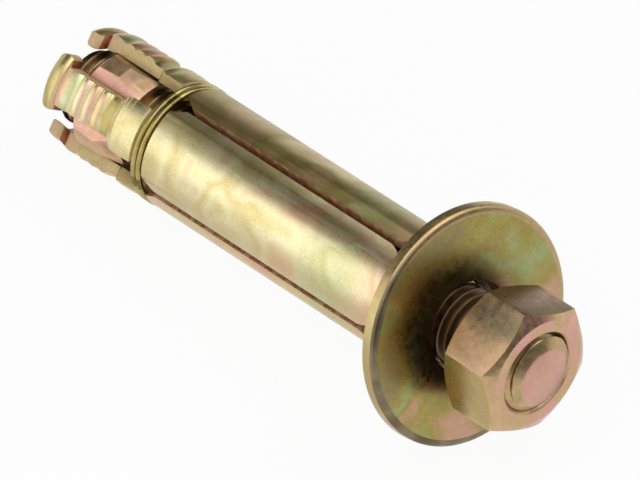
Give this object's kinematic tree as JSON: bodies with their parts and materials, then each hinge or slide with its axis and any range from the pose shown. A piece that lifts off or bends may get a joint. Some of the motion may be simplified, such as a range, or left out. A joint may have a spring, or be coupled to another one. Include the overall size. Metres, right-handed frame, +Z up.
{
  "type": "masonry anchor bolt",
  "caption": "Expanding shield anchor for masonry: slotted steel shield with serrated fingers, threaded stud, cone nut, large washer and hexagon nut.",
  "frame": {"origin": "on the floor under the centre of the box, as the anchor lies at rest on the washer's rim and two fingers", "axes": "+Z up, +X along the anchor towards the hexagon nut, whose end is raised by the washer"},
  "size_m": [0.1272, 0.0472, 0.0457],
  "materials": {
    "stud": "yellow zinc plated",
    "expander": "yellow zinc plated",
    "ferrule": "yellow zinc plated",
    "spring_wire": "spring steel, zinc plated",
    "washer": "yellow zinc plated",
    "nut": "yellow zinc plated",
    "shield": "yellow zinc plated"
  },
  "bodies": {
    "bolt": {"stud": "stud", "expander_nut": "expander"},
    "shield_core": {"ferrule": "ferrule", "retaining_ring": "spring_wire"},
    "washer": {"washer": "washer"},
    "nut": {"hex_nut": "nut"},
    "segment_1": {"shield_segment_1": "shield"},
    "segment_2": {"shield_segment_2": "shield"},
    "segment_3": {"shield_segment_3": "shield"},
    "segment_4": {"shield_segment_4": "shield"}
  },
  "joints": [
    {"name": "shield_slide", "type": "slide", "parent": "bolt", "child": "shield_core", "axis": [-0.9944, 0, -0.106], "range_m": [0, 0.016]},
    {"name": "nut_turn", "type": "hinge", "parent": "shield_core", "child": "nut", "pos_m": [0.03666, 0, 0.02186], "axis": [-0.9944, 0, -0.106], "range_deg": [0, 2880], "deforming": ["retaining_ring"]},
    {"name": "washer_slide", "type": "slide", "parent": "shield_core", "child": "washer", "axis": [0.9944, 0, 0.106], "range_m": [0, 0.002]},
    {"name": "spread_1", "type": "hinge", "parent": "shield_core", "child": "segment_1", "pos_m": [0.03472, -0.00707, 0.02877], "axis": [-0.075, 0.7071, 0.7031], "range_deg": [0, 1.35]},
    {"name": "spread_2", "type": "hinge", "parent": "shield_core", "child": "segment_2", "pos_m": [0.03622, -0.00707, 0.01471], "axis": [-0.075, -0.7071, 0.7031], "range_deg": [0, 1.35]},
    {"name": "spread_3", "type": "hinge", "parent": "shield_core", "child": "segment_3", "pos_m": [0.03622, 0.00707, 0.01471], "axis": [0.075, -0.7071, -0.7031], "range_deg": [0, 1.35]},
    {"name": "spread_4", "type": "hinge", "parent": "shield_core", "child": "segment_4", "pos_m": [0.03472, 0.00707, 0.02877], "axis": [0.075, 0.7071, -0.7031], "range_deg": [0, 1.35]}
  ],
  "couplings": [
    {"joint": "nut_turn", "follows": "shield_slide", "rad_per_m": 3141.6},
    {"joint": "spread_1", "follows": "shield_slide", "rad_per_m": 1.4726},
    {"joint": "spread_2", "follows": "shield_slide", "rad_per_m": 1.4726},
    {"joint": "spread_3", "follows": "shield_slide", "rad_per_m": 1.4726},
    {"joint": "spread_4", "follows": "shield_slide", "rad_per_m": 1.4726}
  ]
}
